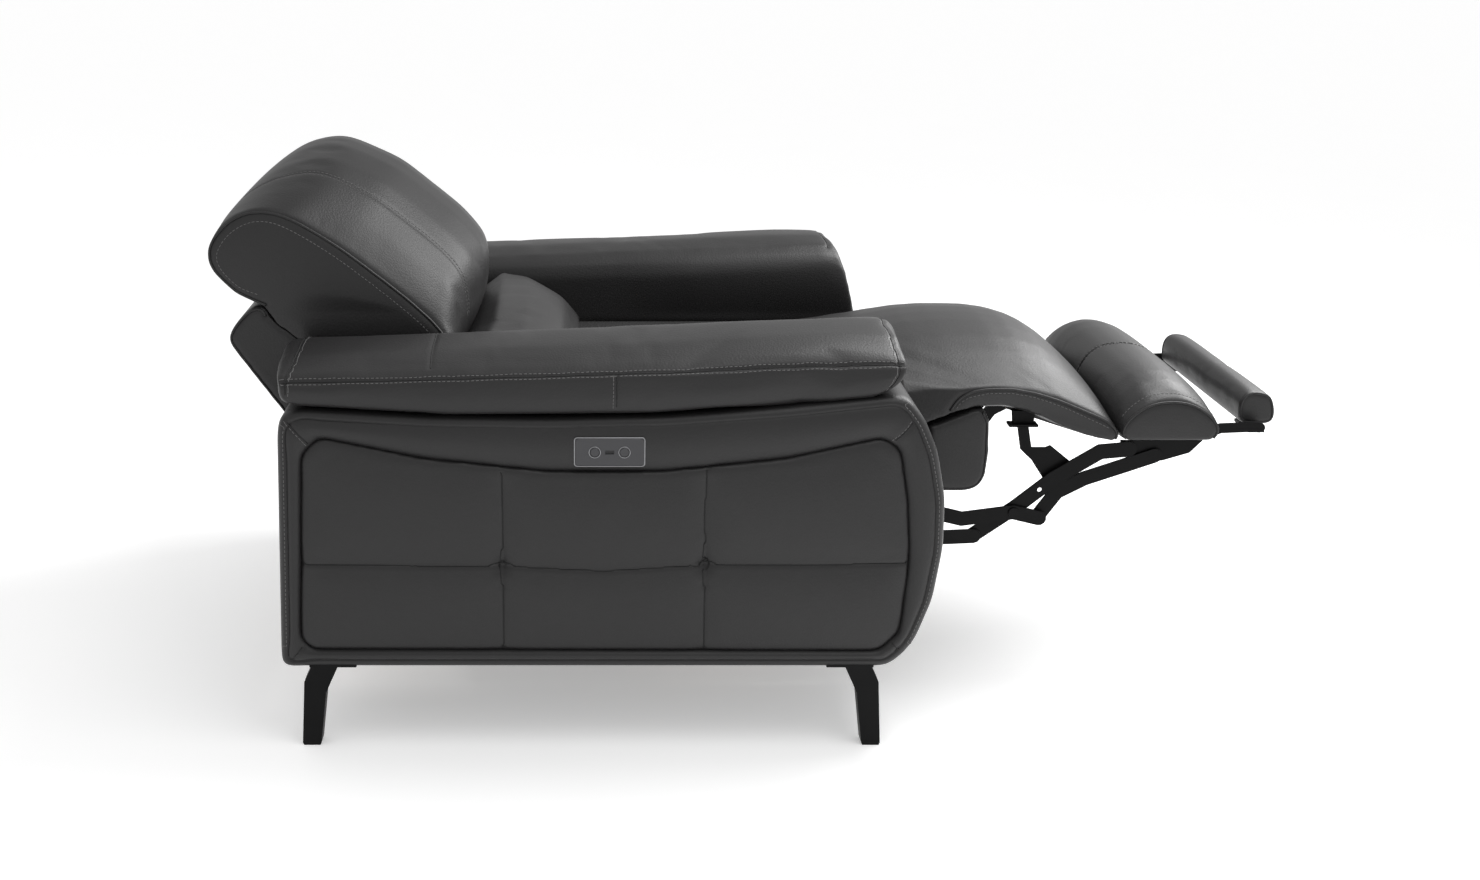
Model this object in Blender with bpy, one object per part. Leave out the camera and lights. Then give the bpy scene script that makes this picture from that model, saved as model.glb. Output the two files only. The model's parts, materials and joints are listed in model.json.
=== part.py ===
"""Power recliner armchair, leg rest out and back reclined, as separate pieces.

Side views are drawn as (fwd, up) points in metres: fwd grows towards the feet and up from the
floor. X runs across the chair. The right arm, with the control plate, is at -X. place() turns
(x, fwd, up) into world coordinates, where the chair faces -Y and its box is centred on the origin.
"""
from math import cos, pi, radians, sin

import bmesh
import bpy
from mathutils import Vector

GAP = 0.0003              # between faces that touch on the real chair
FWD_MID = 0.27080         # half way between the back's rear end and the foot pad's front
RIGHT, LEFT = -1, 1
SIDES = ((RIGHT, "r"), (LEFT, "l"))
ROUND = 16                # sides of a round pin or bore

# Across the chair
ARM_INNER = 0.2715
ARM_OUTER = 0.499
PAD_OUTER = 0.505
ARM_BOARD = 0.018
SEAT_HALF = 0.262
DECK_HALF = 0.2485
LUMBAR_HALF = 0.245
HEAD_HALF = 0.272
PAD_HALF = 0.266
FOOT_PAD_HALF = 0.200

# Arms, in the side view
ARM_BOTTOM = 0.1305
ARM_WALL = 0.024
INSET_X = 0.478
HOLLOW_X = (0.304, 0.454)  # the hollow inside an arm's padding, open at the bottom
DRAPE_X = 0.300            # inside this the arm pad drapes down over the arm's inner side
DRAPE_UP = 0.487
LEG_MIRROR = 0.021         # a front leg is at this minus the rear leg's fwd
LEG_PLATE = 0.005          # let into the arm's underside
LEG_PLATE_X = 0.493
LEG_PLATE_FWD = (-0.422, -0.350)

# Leg rest linkage: flat bars in lanes, counted inwards from the seat's side plates
LANE_X = 0.254
LANE_STEP = 0.005
PLATE = 0.004
PIN_R = 0.005
HEAD_R = 0.0085
BORE_R = PIN_R + GAP
OPEN_BORE_R = 0.0075      # at the two pivots where the closed linkage is opened
UPPER_ROOT = Vector((0.4955, 0.3300))
LOWER_ROOT = Vector((0.4326, 0.2893))
LOWER_TIP = Vector((0.6410, 0.2545))
UPPER_KNEE = Vector((0.7040, 0.2960))
UPPER_TIP = Vector((0.7470, 0.2856))
LONG_TIP = Vector((0.8880, 0.4028))
REST_LINK_TIP = Vector((0.9327, 0.3905))
MID_RIVET = Vector((0.7680, 0.3525))
FOOT_PIVOT = Vector((0.9750, 0.4045))
LEG_PIVOT = Vector((0.6740, 0.4745))

# Seat, back and headrest
UPWARD = Vector((0.0, 1.0))
BACK_PIVOT = Vector((-0.0600, 0.4000))
BACK_TOP = Vector((-0.5000, 0.6300))
BACK_LEAN = radians(37.5)  # the back board above the horizontal
BACK_UP = Vector((-cos(BACK_LEAN), sin(BACK_LEAN)))
BACK_FACE = Vector((sin(BACK_LEAN), cos(BACK_LEAN)))
NOTCH = Vector((-0.5090, 0.6490))
HEAD_LEAN = radians(34.0)
HEAD_FACE = Vector((sin(HEAD_LEAN), cos(HEAD_LEAN)))
HEAD_PIVOT = NOTCH + HEAD_FACE * 0.118
HEAD_WEDGE = radians(22.0)  # opened on each side of the headrest's hinge line
HEAD_CROWN = 0.094

# Controls
CONTROL_FWD = 0.037
CONTROL_UP = 0.479
BUTTON_OFFSET = 0.022
BUTTON_R = 0.0072


# ---------------------------------------------------------------- drawing

def place(x, fwd, up):
    return Vector((x, FWD_MID - fwd, up))


def material(name, colour, roughness, metallic=0.0):
    made = bpy.data.materials.new(name)
    made.use_nodes = True
    shader = made.node_tree.nodes["Principled BSDF"]
    shader.inputs["Base Color"].default_value = (*colour, 1.0)
    shader.inputs["Roughness"].default_value = roughness
    shader.inputs["Metallic"].default_value = metallic
    return made


def node(name, points, faces, finish, pivot=None):
    """A closed mesh object from world points, with its origin on the pivot if it has one."""
    origin = place(0.0, pivot.x, pivot.y) if pivot is not None else Vector()
    mesh = bpy.data.meshes.new(name)
    mesh.from_pydata([point - origin for point in points], [], faces)
    shape = bmesh.new()
    shape.from_mesh(mesh)
    bmesh.ops.recalc_face_normals(shape, faces=shape.faces)
    shape.to_mesh(mesh)
    shape.free()
    mesh.materials.append(finish)
    made = bpy.data.objects.new(name, mesh)
    made.location = origin
    bpy.context.scene.collection.objects.link(made)
    return made


def loft(name, rings, finish, pivot=None):
    """A skin through rings of points. Each ring is (x, outline), and the two ends are capped."""
    count = len(rings[0][1])
    points = [place(x, p.x, p.y) for x, outline in rings for p in outline]
    faces = [tuple(range(count)), tuple(range(len(points) - count, len(points)))]
    for ring in range(len(rings) - 1):
        for i in range(count):
            j = (i + 1) % count
            faces.append((ring * count + i, ring * count + j,
                          (ring + 1) * count + j, (ring + 1) * count + i))
    return node(name, points, faces, finish, pivot)


def prism(name, outline, x0, x1, finish, pivot=None):
    return loft(name, [(x0, outline), (x1, outline)], finish, pivot)


def box(name, x_range, fwd_range, up_range, finish, pivot=None):
    outline = [Vector((fwd_range[0], up_range[0])), Vector((fwd_range[1], up_range[0])),
               Vector((fwd_range[1], up_range[1])), Vector((fwd_range[0], up_range[1]))]
    return prism(name, outline, x_range[0], x_range[1], finish, pivot)


def outline_of(*pairs):
    return [Vector(pair) for pair in pairs]


def circle(centre, radius):
    turns = [2 * pi * i / ROUND for i in range(ROUND)]
    return [centre + Vector((cos(a), sin(a))) * radius for a in turns]


def shrink(outline, inset):
    """The outline moved inwards by inset along its corners' mean normals."""
    area = sum(a.x * b.y - b.x * a.y for a, b in zip(outline, outline[1:] + outline[:1]))
    turn = 1.0 if area > 0 else -1.0
    moved = []
    for i, point in enumerate(outline):
        before = (point - outline[i - 1]).normalized()
        after = (outline[(i + 1) % len(outline)] - point).normalized()
        normals = [Vector((-d.y, d.x)) * turn for d in (before, after)]
        mean = (normals[0] + normals[1]).normalized()
        moved.append(point + mean * inset / max(mean.dot(normals[0]), 0.5))
    return moved


def strip(path, width):
    """Outline of a flat bar of even width along a bent path, with round ends."""
    path = [Vector(point) for point in path]
    half = width / 2
    left, right = [], []
    for i, point in enumerate(path):
        before = (point - path[i - 1]).normalized() if i else None
        after = (path[i + 1] - point).normalized() if i + 1 < len(path) else None
        ways = [way for way in (before, after) if way]
        normals = [Vector((-way.y, way.x)) for way in ways]
        mean = sum(normals, Vector((0.0, 0.0))).normalized()
        reach = mean * half / mean.dot(normals[0])
        left.append(point + reach)
        right.append(point - reach)

    def cap(centre, start):
        spoke = start - centre
        turns = [pi * i / 6 for i in range(1, 6)]
        return [centre + Vector((spoke.x * cos(a) + spoke.y * sin(a),
                                 spoke.y * cos(a) - spoke.x * sin(a))) for a in turns]

    return left + cap(path[-1], left[-1]) + right[::-1] + cap(path[0], right[0])


def combine(target, tool, operation):
    """Joins the tool to the target, or cuts it out, and removes the tool."""
    step = target.modifiers.new("combine", "BOOLEAN")
    step.object = tool
    step.operation = operation
    step.solver = "EXACT"
    graph = bpy.context.evaluated_depsgraph_get()
    mesh = bpy.data.meshes.new_from_object(target.evaluated_get(graph))
    old = target.data
    target.modifiers.clear()
    target.data = mesh
    mesh.name = target.name
    bpy.data.meshes.remove(old)
    bpy.data.objects.remove(tool)


def cut(target, tool):
    combine(target, tool, "DIFFERENCE")


def join(target, tool):
    combine(target, tool, "UNION")


def bore(target, centre, radius, x0, x1, finish):
    cut(target, prism("bore", circle(centre, radius), x0, x1, finish))


# ---------------------------------------------------------------- soft pieces

def cushion(name, outline, lifts, half, finish, boxy=2.2, roll=0.006, pivot=None):
    """A boxed cushion: its side outline across the chair, with a crown towards the middle.

    lifts holds each outline point's move at the middle of the chair. A larger boxy makes the
    crown rise sooner from the piping and stay flatter.
    """
    rings = []
    for part in (-1.0, -0.95, -0.85, -0.65, -0.35, 0.0, 0.35, 0.65, 0.85, 0.95, 1.0):
        rise = 1 - abs(part) ** boxy
        shape = shrink(outline, roll) if abs(part) == 1.0 else outline
        rings.append((part * half, [p + lift * rise for p, lift in zip(shape, lifts)]))
    made = loft(name, rings, finish, pivot)
    made.data.shade_smooth()
    made.data.set_sharp_from_angle(angle=radians(50))
    return made


def lifts_of(direction, crown, shares):
    return [direction * crown * share for share in shares]


def arm_top(fwd):
    """Height of the arm's top under its pad: lowest in the middle, rising to the front."""
    return 0.5275 + 0.128 * (fwd + 0.08) ** 2


def inset_top(fwd):
    return 0.4425 + 0.31 * (fwd - 0.03) ** 2


def arm_outline():
    front = [(0.462, ARM_BOTTOM), (0.499, 0.173), (0.525, 0.240), (0.539, 0.322), (0.539, 0.401),
             (0.524, 0.479), (0.499, 0.527), (0.458, arm_top(0.458))]
    top = [(fwd, arm_top(fwd)) for fwd in (0.30, 0.12, -0.06, -0.24, -0.428)]
    return outline_of(*front, *top, (-0.453, 0.515), (-0.461, ARM_BOTTOM))


def inset_outline():
    lower = [(-0.406, 0.163), (0.452, 0.160), (0.487, 0.192), (0.497, 0.306), (0.489, 0.401)]
    top = [(fwd, inset_top(fwd)) for fwd in (0.44, 0.30, 0.12, -0.06, -0.24, -0.385)]
    return outline_of(*lower, (0.472, 0.478), *top, (-0.412, 0.470), (-0.424, 0.180))


def build_arm(side, tag, leather, wood):
    outline = arm_outline()
    shell = loft("arm_shell_" + tag, [
        (side * ARM_INNER, outline),
        (side * (ARM_OUTER - 0.010), outline),
        (side * (ARM_OUTER - 0.003), shrink(outline, 0.003)),
        (side * ARM_OUTER, shrink(outline, 0.009))], leather)
    cut(shell, prism("recess", inset_outline(), side * INSET_X, side * 0.52, leather))
    hollow = shrink(outline, ARM_WALL)
    cut(shell, prism("hollow", hollow, side * HOLLOW_X[0], side * HOLLOW_X[1], leather))
    cut(shell, box("mouth", (side * HOLLOW_X[0], side * HOLLOW_X[1]), (-0.425, 0.430),
                   (ARM_BOTTOM - 0.02, ARM_BOTTOM + 0.05), leather))
    cut(shell, box("drape", (side * 0.25, side * DRAPE_X), (-0.60, 0.60), (DRAPE_UP, 0.70), leather))
    cover = shrink(inset_outline(), GAP * 2)
    inset = loft("side_inset_" + tag, [
        (side * (INSET_X + GAP), cover), (side * (ARM_OUTER - 0.009), cover),
        (side * (ARM_OUTER - 0.004), shrink(cover, 0.006)),
        (side * (ARM_OUTER - 0.001), shrink(cover, 0.020))], leather)
    inner = HOLLOW_X[0] + GAP
    frame = prism("arm_frame_" + tag, shrink(hollow, GAP * 2), side * inner,
                  side * (inner + ARM_BOARD), wood)
    join(frame, box("floor", (side * inner, side * (HOLLOW_X[1] - GAP)), (-0.4245, 0.4295),
                    (ARM_BOTTOM + LEG_PLATE + GAP, ARM_BOTTOM + ARM_WALL + 0.003), wood))
    for ends in (LEG_PLATE_FWD, tuple(LEG_MIRROR - end for end in reversed(LEG_PLATE_FWD))):
        cut(shell, box("pocket", (side * 0.39, side * (LEG_PLATE_X + GAP)),
                       (ends[0] - GAP, ends[1] + GAP),
                       (ARM_BOTTOM - 0.02, ARM_BOTTOM + LEG_PLATE + GAP), leather))
    build_arm_pad(side, tag, leather)
    for soft in (shell, inset):
        soft.data.shade_smooth()
        soft.data.set_sharp_from_angle(angle=radians(35))
    return shell


def build_arm_pad(side, tag, leather):
    """The overstuffed pad: a section across the arm, carried from its rear end to its front."""
    stations = ((-0.453, 0.60), (-0.446, 0.92), (-0.425, 1.0), (-0.20, 1.0), (0.10, 1.0),
                (0.38, 1.0), (0.454, 0.98), (0.472, 0.86), (0.478, 0.60))
    sections = []
    for fwd, share in stations:
        base = arm_top(min(fwd, 0.445)) + 0.0025
        seam = 0.600 + 0.031 * (fwd + 0.02)
        crown = 0.627 + 0.037 * (fwd + 0.02)
        middle = (base + crown) / 2
        section = [(DRAPE_X - GAP, base), (0.490, base), (0.501, base + 0.008),
                   (PAD_OUTER, base + 0.028), (0.502, seam - 0.004), (0.488, seam + 0.008),
                   (0.430, crown - 0.005), (0.350, crown), (0.300, crown - 0.006),
                   (0.279, crown - 0.022), (0.272, middle)]
        ring = [place(side * (0.39 + (x - 0.39) * (0.7 + 0.3 * share)), fwd,
                      middle + (up - middle) * share) for x, up in section]
        ring[0].x = side * (DRAPE_X - GAP)
        lean = max(0.0, fwd - 0.38) * 0.24
        for x in (ARM_INNER, DRAPE_X - GAP):
            ring.append(place(side * x, fwd + lean, DRAPE_UP + GAP + 0.04 * (1 - share)))
        sections.append(ring)
    count = len(sections[0])
    points = [point for section in sections for point in section]
    faces = [tuple(range(count)), tuple(range(len(points) - count, len(points)))]
    for row in range(len(sections) - 1):
        for i in range(count):
            j = (i + 1) % count
            faces.append((row * count + i, row * count + j,
                          (row + 1) * count + j, (row + 1) * count + i))
    pad = node("arm_pad_" + tag, points, faces, leather)
    pad.data.shade_smooth()
    pad.data.set_sharp_from_angle(angle=radians(50))


# ---------------------------------------------------------------- base

def build_legs(steel):
    """Angled steel legs: a tapered shank down to the foot and an arm to the mounting plate."""
    top = ARM_BOTTOM - GAP
    profile = outline_of((-0.435, 0.0), (-0.410, 0.0), (-0.408, 0.004), (-0.398, 0.088),
                         (-0.379, top), (-0.379, ARM_BOTTOM + LEG_PLATE),
                         (-0.420, ARM_BOTTOM + LEG_PLATE), (-0.420, top), (-0.431, 0.106),
                         (-0.437, 0.004))
    for place_name, mirrored in (("rear", False), ("front", True)):
        for side, tag in SIDES:
            shape = profile
            ends = LEG_PLATE_FWD
            if mirrored:
                shape = [Vector((LEG_MIRROR - p.x, p.y)) for p in profile]
                ends = tuple(LEG_MIRROR - end for end in reversed(ends))
            leg = prism("leg_" + place_name + "_" + tag, shape, side * 0.465, side * 0.4925, steel)
            join(leg, box("plate", (side * 0.400, side * LEG_PLATE_X), ends,
                          (ARM_BOTTOM, ARM_BOTTOM + LEG_PLATE), steel))


def build_base(steel, wood, leather, plastic):
    for name, fwd in (("front_rail", 0.190), ("rear_rail", -0.400)):
        box(name, (-ARM_INNER + GAP, ARM_INNER - GAP), (fwd, fwd + 0.040), (0.145, 0.1897), wood)
    for side, tag in SIDES:
        box("glide_rail_" + tag, (side * 0.2535, side * 0.266), (-0.396, 0.240), (0.190, 0.215),
            steel)
    box("rear_panel", (-ARM_INNER + GAP, ARM_INNER - GAP), (-0.446, -0.426), (0.134, 0.330),
        leather)
    supply = box("power_box", (0.060, 0.180), (-0.398, -0.330), (0.190, 0.232), plastic)
    for x in (0.085, 0.105, 0.125, 0.145):
        cut(supply, box("vent", (x, x + 0.006), (-0.385, -0.345), (0.228, 0.240), plastic))


# ---------------------------------------------------------------- controls

def build_controls(shell, metal, plastic):
    """The control plate in the right arm, its two push buttons and the USB socket."""
    centre = Vector((CONTROL_FWD, CONTROL_UP))
    cut(shell, box("window", (-0.44, -0.52), (CONTROL_FWD - 0.046, CONTROL_FWD + 0.046),
                   (CONTROL_UP - 0.0165, CONTROL_UP + 0.0165), metal))
    face = ARM_OUTER + GAP
    plate = loft("control_plate", [
        (-face, rounded_plate(centre, 0.052, 0.022)),
        (-face - 0.0015, rounded_plate(centre, 0.052, 0.022)),
        (-face - 0.0030, rounded_plate(centre, 0.050, 0.020))], metal)
    join(plate, box("housing", (-0.480, -0.500), (CONTROL_FWD - 0.045, CONTROL_FWD + 0.045),
                    (CONTROL_UP - 0.0155, CONTROL_UP + 0.0155), metal))
    for sign in (-1, 1):
        spot = centre + Vector((sign * BUTTON_OFFSET, 0.0))
        bore(plate, spot, BUTTON_R + GAP, -0.488, -0.52, metal)
    cut(plate, box("slot", (-0.488, -0.52), (CONTROL_FWD - 0.0068, CONTROL_FWD + 0.0068),
                   (CONTROL_UP - 0.0030, CONTROL_UP + 0.0030), metal))
    socket = box("usb_socket", (-0.4884, -0.5010), (CONTROL_FWD - 0.0064, CONTROL_FWD + 0.0064),
                 (CONTROL_UP - 0.0026, CONTROL_UP + 0.0026), plastic)
    cut(socket, box("mouth", (-0.494, -0.52), (CONTROL_FWD - 0.0054, CONTROL_FWD + 0.0054),
                    (CONTROL_UP - 0.0017, CONTROL_UP + 0.0017), plastic))
    for name, sign in (("button_open", 1), ("button_close", -1)):
        spot = centre + Vector((sign * BUTTON_OFFSET, 0.0))
        loft(name, [(-0.4905, circle(spot, BUTTON_R)), (-0.5028, circle(spot, BUTTON_R)),
                    (-0.5036, circle(spot, BUTTON_R - 0.0008))], metal, spot)


def rounded_plate(centre, half_fwd, half_up, radius=0.004):
    corners = ((1, 1, 0), (-1, 1, 90), (-1, -1, 180), (1, -1, 270))
    outline = []
    for along, up, start in corners:
        middle = centre + Vector((along * (half_fwd - radius), up * (half_up - radius)))
        for step in range(3):
            angle = radians(start + 45 * step)
            outline.append(middle + Vector((cos(angle), sin(angle))) * radius)
    return outline


# ---------------------------------------------------------------- seat

def build_seat(leather, wood, steel, foam, plastic):
    deck_front, deck_rear = 0.545, -0.020
    deck = box("seat_deck", (-DECK_HALF, DECK_HALF), (deck_rear, deck_front), (0.345, 0.3865), wood)
    cut(deck, box("tray", (-0.225, 0.225), (0.01, 0.515), (0.357, 0.40), wood))
    box("spring_unit", (-0.2245, 0.2245), (0.0105, 0.5145), (0.3573, 0.3862), foam)
    build_seat_cushion(leather)
    fascia = outline_of((0.553, 0.340), (0.565, 0.3305), (0.625, 0.3305), (0.645, 0.338),
                        (0.657, 0.357), (0.661, 0.400), (0.659, 0.455), (0.647, 0.4770),
                        (0.630, 0.4765), (0.553, 0.4475))
    cushion("seat_fascia", fascia, [Vector((0.0, 0.0))] * len(fascia), SEAT_HALF, leather)
    for side, tag in SIDES:
        build_side_plate(side, tag, steel)
    motor = box("motor", (-0.036, 0.036), (-0.010, 0.062), (0.266, 0.326), plastic)
    join(motor, prism("barrel", circle(Vector((0.026, 0.296)), 0.024), 0.030, 0.120, plastic))
    box("actuator_rail", (-0.013, 0.013), (0.0625, 0.440), (0.292, 0.318), steel)


def build_seat_cushion(leather):
    outline = outline_of((-0.028, 0.3873), (0.26, 0.3873), (0.5505, 0.3873), (0.5505, 0.4485),
                         (0.622, 0.4755), (0.630, 0.492), (0.626, 0.512), (0.560, 0.513),
                         (0.450, 0.496), (0.300, 0.472), (0.150, 0.452), (0.050, 0.438),
                         (-0.010, 0.430), (-0.028, 0.415))
    shares = (0.0, 0.0, 0.0, 0.0, 0.0, 0.35, 1.0, 1.0, 0.9, 0.6, 0.25, 0.05, 0.0, 0.0)
    cushion("seat_cushion", outline, lifts_of(UPWARD, 0.058, shares), SEAT_HALF, leather)


def lane(number, side):
    """X of a lane's outer and inner faces."""
    inner = LANE_X - LANE_STEP * number
    return side * (inner + PLATE), side * inner


def bar(name, side, number, outline, steel, pivot, bores=(), pins=()):
    """A flat link. A bore is (centre, radius); a pin is (centre, last lane it passes through)."""
    outer, inner = lane(number, side)
    made = prism(name, outline, outer, inner, steel, pivot)
    for centre, radius in bores:
        bore(made, centre, radius, outer + side * 0.002, inner - side * 0.002, steel)
    for centre, last in pins:
        join(made, pin(centre, side, number, last, steel))
    return made


def pin(centre, side, number, last, steel):
    """A rivet from inside its own bar, through the bars up to the last lane, with a head there."""
    inwards = last > number
    start = sum(lane(number, side)) / 2
    outer, inner = lane(last, side)
    far = inner if inwards else outer
    way = -side if inwards else side
    neck = far + way * 0.0005
    end = far + way * 0.0030
    return loft("pin", [(start, circle(centre, PIN_R)), (neck, circle(centre, PIN_R)),
                        (neck, circle(centre, HEAD_R)), (end, circle(centre, HEAD_R))], steel)


def build_side_plate(side, tag, steel):
    """Carries the seat on its glide rail, the back's hinge and the leg rest's two root pivots."""
    outline = outline_of((-0.100, 0.2153), (0.400, 0.2153), (0.430, 0.270), (0.520, 0.305),
                         (0.525, 0.352), (0.500, 0.380), (-0.034, 0.380), (-0.038, 0.405),
                         (-0.048, 0.418), (-0.072, 0.418), (-0.082, 0.405), (-0.100, 0.330))
    bar("side_plate_" + tag, side, 0, outline, steel, None,
        bores=((UPPER_ROOT, BORE_R), (LOWER_ROOT, BORE_R)), pins=((BACK_PIVOT, 1),))


# ---------------------------------------------------------------- back and headrest

def on_back(up_along, off_face):
    """A point on the back: distance down from the board's top, and in front of its face."""
    return BACK_TOP - BACK_UP * up_along + BACK_FACE * off_face


def build_back(leather, wood, steel):
    board = [on_back(0.0, -0.001), on_back(0.415, -0.001), on_back(0.415, -0.027),
             on_back(0.0, -0.027)]
    prism("back_board", board, -DECK_HALF, DECK_HALF, wood, BACK_PIVOT)
    for side, tag in SIDES:
        path = [BACK_PIVOT, on_back(0.400, -0.0135), on_back(0.200, -0.0135)]
        bar("back_bracket_" + tag, side, 1, strip(path, 0.022), steel, BACK_PIVOT,
            bores=((BACK_PIVOT, BORE_R),))
    shell = [on_back(-0.001, -0.0275), Vector((-0.520, 0.633)), Vector((-0.552, 0.622)),
             Vector((-0.567, 0.594)), Vector((-0.480, 0.472)), Vector((-0.376, 0.341)),
             Vector((-0.330, 0.336)), on_back(0.400, -0.0275)]
    cushion("back_shell", shell, [Vector((0.0, 0.0))] * len(shell), SEAT_HALF, leather,
            pivot=BACK_PIVOT)
    build_back_pad(leather)
    build_lumbar(leather)


def build_back_pad(leather):
    wedge = turned(HEAD_FACE, HEAD_WEDGE)
    outline = [on_back(0.004, 0.001), NOTCH + HEAD_FACE * 0.030 - BACK_UP * 0.004,
               HEAD_PIVOT - HEAD_FACE * 0.008 - BACK_UP * 0.008,
               HEAD_PIVOT + wedge * 0.040 - BACK_UP * 0.002,
               Vector((-0.383, 0.740)), Vector((-0.291, 0.665)), Vector((-0.228, 0.612)),
               Vector((-0.200, 0.575)), Vector((-0.215, 0.540)), on_back(0.270, 0.001)]
    shares = (0.0, 0.0, 0.0, 0.0, 1.06, 1.10, 0.92, 0.45, 0.0, 0.0)
    lifts = lifts_of(BACK_FACE, HEAD_CROWN, shares)
    lifts[3] = wedge * HEAD_CROWN / cos(HEAD_WEDGE)
    cushion("back_pad", outline, lifts, SEAT_HALF, leather, boxy=4.0, pivot=BACK_PIVOT)


def build_lumbar(leather):
    outline = [on_back(0.275, 0.001), Vector((-0.210, 0.532)), Vector((-0.188, 0.568)),
               Vector((-0.150, 0.600)), Vector((-0.105, 0.590)), Vector((-0.050, 0.555)),
               Vector((-0.006, 0.515)), Vector((-0.008, 0.488)), Vector((-0.060, 0.455)),
               Vector((-0.120, 0.425)), on_back(0.412, 0.001)]
    shares = (0.0, 0.0, 0.0, 0.6, 1.0, 1.0, 0.6, 0.0, 0.0, 0.0, 0.0)
    cushion("lumbar_cushion", outline, lifts_of(BACK_FACE, 0.022, shares), LUMBAR_HALF, leather,
            pivot=BACK_PIVOT)


def turned(vector, angle):
    """The side-view vector turned clockwise, that is, forwards and down."""
    return Vector((vector.x * cos(angle) + vector.y * sin(angle),
                   vector.y * cos(angle) - vector.x * sin(angle)))


def build_headrest(leather, wood, steel):
    """The headrest folds at a hinge line near its front, where a steel support carries it."""
    across = Vector((-HEAD_FACE.y, HEAD_FACE.x))
    foot = NOTCH + HEAD_FACE * 0.004
    top = HEAD_PIVOT
    support = [foot - across * 0.0015, top - across * 0.0015, top + across * 0.0015,
               foot + across * 0.0015]
    made = prism("headrest_support", support, -0.200, 0.200, steel, BACK_PIVOT)
    join(made, prism("rod", circle(HEAD_PIVOT, 0.0055), -0.215, 0.215, steel))
    low = NOTCH + across * 0.003 + HEAD_FACE * 0.004
    high = HEAD_PIVOT + across * 0.010 - HEAD_FACE * 0.010
    wedge = turned(HEAD_FACE, -HEAD_WEDGE)
    outline = [low, Vector((-0.553, 0.661)), Vector((-0.586, 0.695)), Vector((-0.596, 0.730)),
               Vector((-0.573, 0.770)), Vector((-0.539, 0.793)), Vector((-0.502, 0.798)),
               HEAD_PIVOT + wedge * 0.040, high]
    shares = (0.0, 0.0, 0.0, 0.08, 0.36, 0.62, 0.76, 0.0, 0.0)
    lifts = lifts_of(Vector((0.40, 0.92)), HEAD_CROWN, shares)
    lifts[7] = wedge * HEAD_CROWN
    pad = cushion("headrest_pad", outline, lifts, HEAD_HALF, leather, boxy=4.0, pivot=HEAD_PIVOT)
    middle = (low + high) / 2

    def slab(near, far, half):
        corners = ((near, -half), (far, -half), (far, half), (near, half))
        return [middle + across * along + HEAD_FACE * off for along, off in corners]

    cut(pad, prism("slot", slab(-0.020, 0.0783, 0.0063), -0.2003, 0.2003, leather))
    prism("headrest_board", slab(0.003, 0.078, 0.006), -0.200, 0.200, wood, HEAD_PIVOT)


# ---------------------------------------------------------------- leg rest

def build_linkage(side, tag, steel):
    upper = strip([UPPER_ROOT, (0.565, 0.298), (0.620, 0.2845), UPPER_KNEE, UPPER_TIP], 0.024)
    bar("upper_link_" + tag, side, 1, upper, steel, UPPER_ROOT,
        bores=((UPPER_KNEE, BORE_R),), pins=((UPPER_ROOT, 0), (UPPER_TIP, 3)))
    lower = strip([LOWER_ROOT, (0.510, 0.2575), (0.585, 0.2520), LOWER_TIP], 0.024)
    bar("lower_link_" + tag, side, 1, lower, steel, LOWER_ROOT,
        pins=((LOWER_ROOT, 0), (LOWER_TIP, 2)))
    long_bar = strip([LOWER_TIP, (0.708, 0.3025), MID_RIVET, (0.8416, 0.3985), LONG_TIP], 0.025)
    bar("long_link_" + tag, side, 2, long_bar, steel, UPPER_KNEE,
        bores=((LOWER_TIP, OPEN_BORE_R), (UPPER_KNEE.lerp(MID_RIVET, 0.66), 0.004)),
        pins=((UPPER_KNEE, 1), (MID_RIVET, 4), (LONG_TIP, 4)))
    rest_bar = strip([UPPER_TIP, (0.776, 0.3275), (0.820, 0.3510), (0.889, 0.3750),
                      REST_LINK_TIP], 0.024)
    bar("rest_link_" + tag, side, 3, rest_bar, steel, UPPER_TIP,
        bores=((UPPER_TIP, BORE_R),), pins=((REST_LINK_TIP, 4),))
    mid = outline_of((0.706, 0.4385), (0.713, 0.400), (0.722, 0.391), (0.732, 0.382),
                     (0.757, 0.344), (0.772, 0.3395), (0.788, 0.352), (0.796, 0.379),
                     (0.762, 0.4065), (0.754, 0.4030), (0.731, 0.4030), (0.724, 0.4385))
    carrier = bar("mid_bracket_" + tag, side, 4, mid, steel, UPPER_KNEE,
                  bores=((MID_RIVET, BORE_R),))
    join(carrier, box("flange", (side * 0.214, side * 0.2375), (0.693, 0.740), (0.4375, 0.4415),
                      steel))
    rest = outline_of((0.876, 0.4152), (0.877, 0.398), (0.886, 0.3915), (0.908, 0.3905),
                      (0.922, 0.380), (0.946, 0.3805), (0.990, 0.394), (1.010, 0.4152))
    bar("rest_bracket_" + tag, side, 4, rest, steel, LONG_TIP,
        bores=((LONG_TIP, BORE_R), (REST_LINK_TIP, OPEN_BORE_R)), pins=((FOOT_PIVOT, 6),))
    foot = strip([FOOT_PIVOT, (1.015, 0.4225), (1.042, 0.4325), (1.092, 0.4345), (1.106, 0.4335)],
                 0.0165)
    arm = bar("foot_bracket_" + tag, side, 6, foot, steel, FOOT_PIVOT, bores=((FOOT_PIVOT, BORE_R),))
    join(arm, box("tongue", (side * 0.160, side * 0.226), (1.088, 1.114), (0.4250, 0.4300), steel))


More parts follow.
